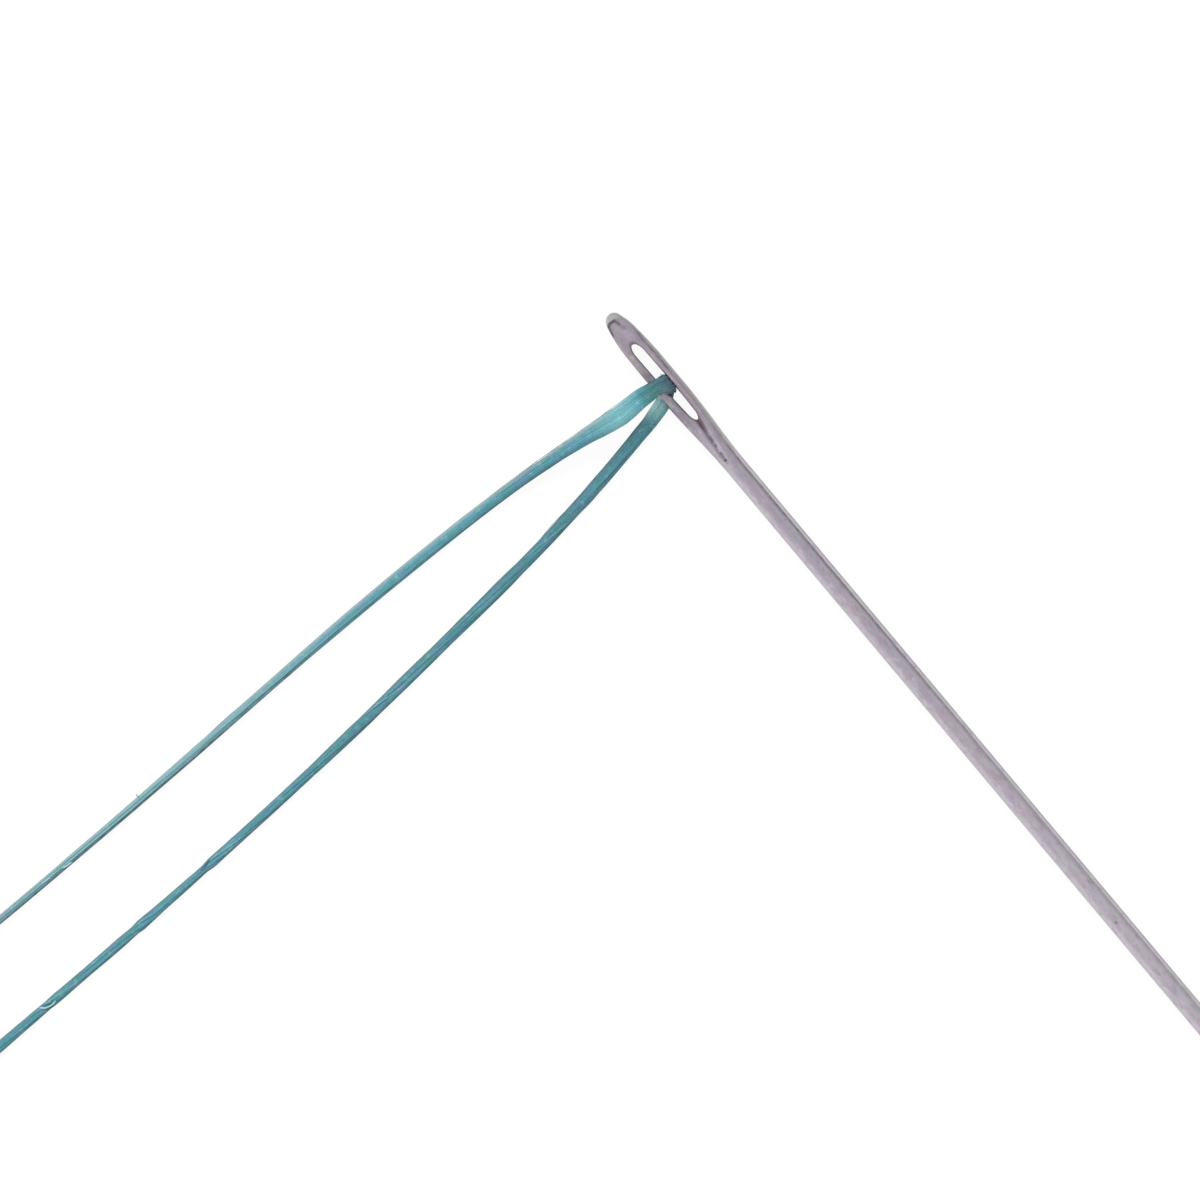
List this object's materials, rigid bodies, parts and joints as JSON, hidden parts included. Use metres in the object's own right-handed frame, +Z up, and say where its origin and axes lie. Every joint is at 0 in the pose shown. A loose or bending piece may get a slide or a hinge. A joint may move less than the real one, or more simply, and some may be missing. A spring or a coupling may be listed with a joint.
{
  "type": "beading needle",
  "caption": "Slim straight beading needle with a stamped head, a long punched eye and pressed gutters, threaded with flat teal nylon thread that lies in a tied coil.",
  "frame": {"origin": "on the surface that the needle lies on, below the middle of the needle's length", "axes": "+X along the needle from the eye end to the point, +Z up through the eye, the thread leaves towards -Y"},
  "size_m": [0.055, 0.0407, 0.0011],
  "materials": {
    "needle_steel": "satin nickel plate on hardened steel wire, drawn along its length",
    "thread_nylon": "flat untwisted filament thread with a soft sheen"
  },
  "bodies": {
    "needle": {"needle": "needle_steel"},
    "working_thread": {"thread_working_end": "thread_nylon", "thread_coil": "thread_nylon", "coil_tie": "thread_nylon"},
    "short_thread": {"thread_short_end": "thread_nylon"}
  },
  "joints": [
    {"name": "thread_shift", "type": "slide", "parent": "needle", "child": "working_thread", "axis": [1, 0, 0], "range_m": [-0.00095, 0.00065]},
    {"name": "short_end_swing", "type": "hinge", "parent": "working_thread", "child": "short_thread", "pos_m": [-0.02538, 0, 0.00033], "axis": [0, 0, -1], "range_deg": [0, 60]}
  ]
}
